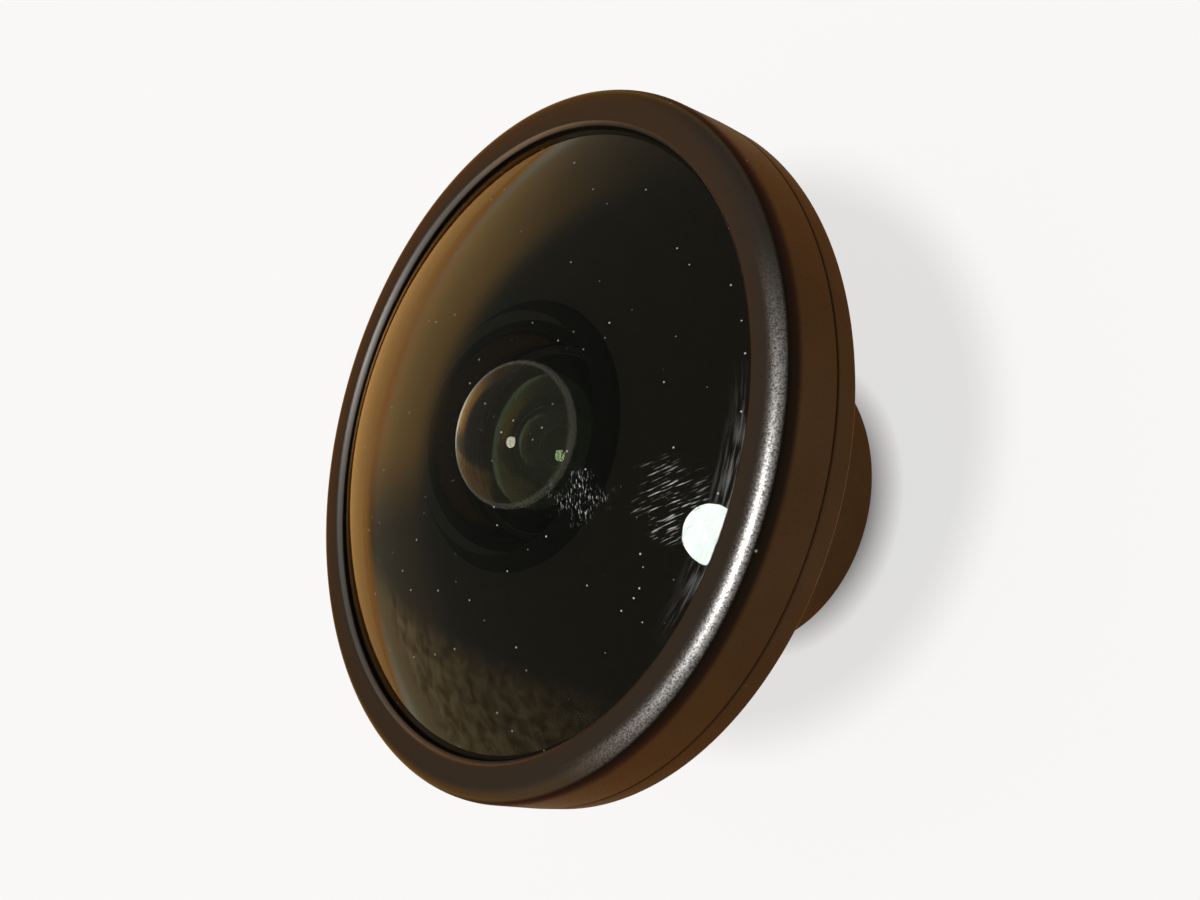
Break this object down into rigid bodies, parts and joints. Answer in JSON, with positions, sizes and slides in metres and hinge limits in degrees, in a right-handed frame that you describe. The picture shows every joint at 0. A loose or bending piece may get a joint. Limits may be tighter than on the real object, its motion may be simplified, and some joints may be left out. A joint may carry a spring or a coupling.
{
  "type": "fisheye converter lens",
  "caption": "Round fisheye converter lens: wide beaded front ring, domed front glass, conical back, smooth rear barrel and a screw mount for a small camera.",
  "frame": {"origin": "centre of the free end of the rear mount thread, on the optical axis", "axes": "+Z along the optical axis, from the mount to the front glass; X and Y across it, with no marked direction"},
  "size_m": [0.05, 0.05, 0.0339],
  "materials": {
    "black_anodised": "bead blasted and black anodised, satin with a fine grain",
    "blackened_metal": "matte black, turned",
    "front_glass": "polished, coated, faint green reflection",
    "inner_glass": "polished, coated, faint green reflection",
    "black_nylon": "smooth moulded",
    "seal_rubber": "matte",
    "stop_foil": "matte black foil"
  },
  "bodies": {
    "lens_body": {"front_element": "front_glass", "front_seal": "seal_rubber", "main_housing": "black_anodised", "front_baffle": "blackened_metal", "lens_cell": "blackened_metal", "second_retainer": "blackened_metal", "second_element": "inner_glass", "second_spacer": "blackened_metal", "third_element": "inner_glass", "aperture_stop": "stop_foil", "stop_spacer": "blackened_metal", "doublet_crown": "inner_glass", "doublet_flint": "inner_glass", "doublet_spacer": "blackened_metal", "rear_element": "inner_glass", "rear_retainer": "blackened_metal", "mount_ring": "black_anodised", "rear_barrel": "black_anodised"},
    "bezel_carrier": {"slip_ring": "black_nylon"},
    "bezel": {"front_bezel": "black_anodised"}
  },
  "joints": [
    {"name": "bezel_lift", "type": "slide", "parent": "lens_body", "child": "bezel_carrier", "axis": [0, 0, 1], "range_m": [0, 0.003]},
    {"name": "bezel_turn", "type": "hinge", "parent": "bezel_carrier", "child": "bezel", "pos_m": [0, 0, 0.026], "axis": [0, 0, 1], "range_deg": [0, 1440]}
  ],
  "couplings": [
    {"joint": "bezel_lift", "follows": "bezel_turn", "m_per_rad": 0.00011936}
  ]
}
